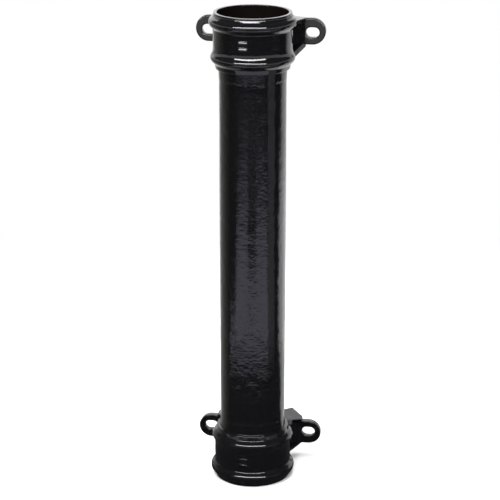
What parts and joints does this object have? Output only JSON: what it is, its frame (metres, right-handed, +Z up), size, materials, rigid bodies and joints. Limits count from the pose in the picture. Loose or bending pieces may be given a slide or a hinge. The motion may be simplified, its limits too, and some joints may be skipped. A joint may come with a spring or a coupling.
{
  "type": "cast iron downpipe",
  "caption": "Round cast iron rainwater downpipe with a beaded, eared socket at each end, painted gloss black, for carrying roof water down a wall",
  "frame": {"origin": "on the pipe's axis, in the plane of the lower rim that it stands on", "axes": "+Z up the pipe, +Y back to the wall that the ears are fixed to, +X to the right seen from the front"},
  "size_m": [0.1638, 0.1199, 0.61],
  "materials": {
    "black_paint": "gloss black paint on cast iron"
  },
  "bodies": {
    "root": {"downpipe": "black_paint"}
  },
  "joints": []
}
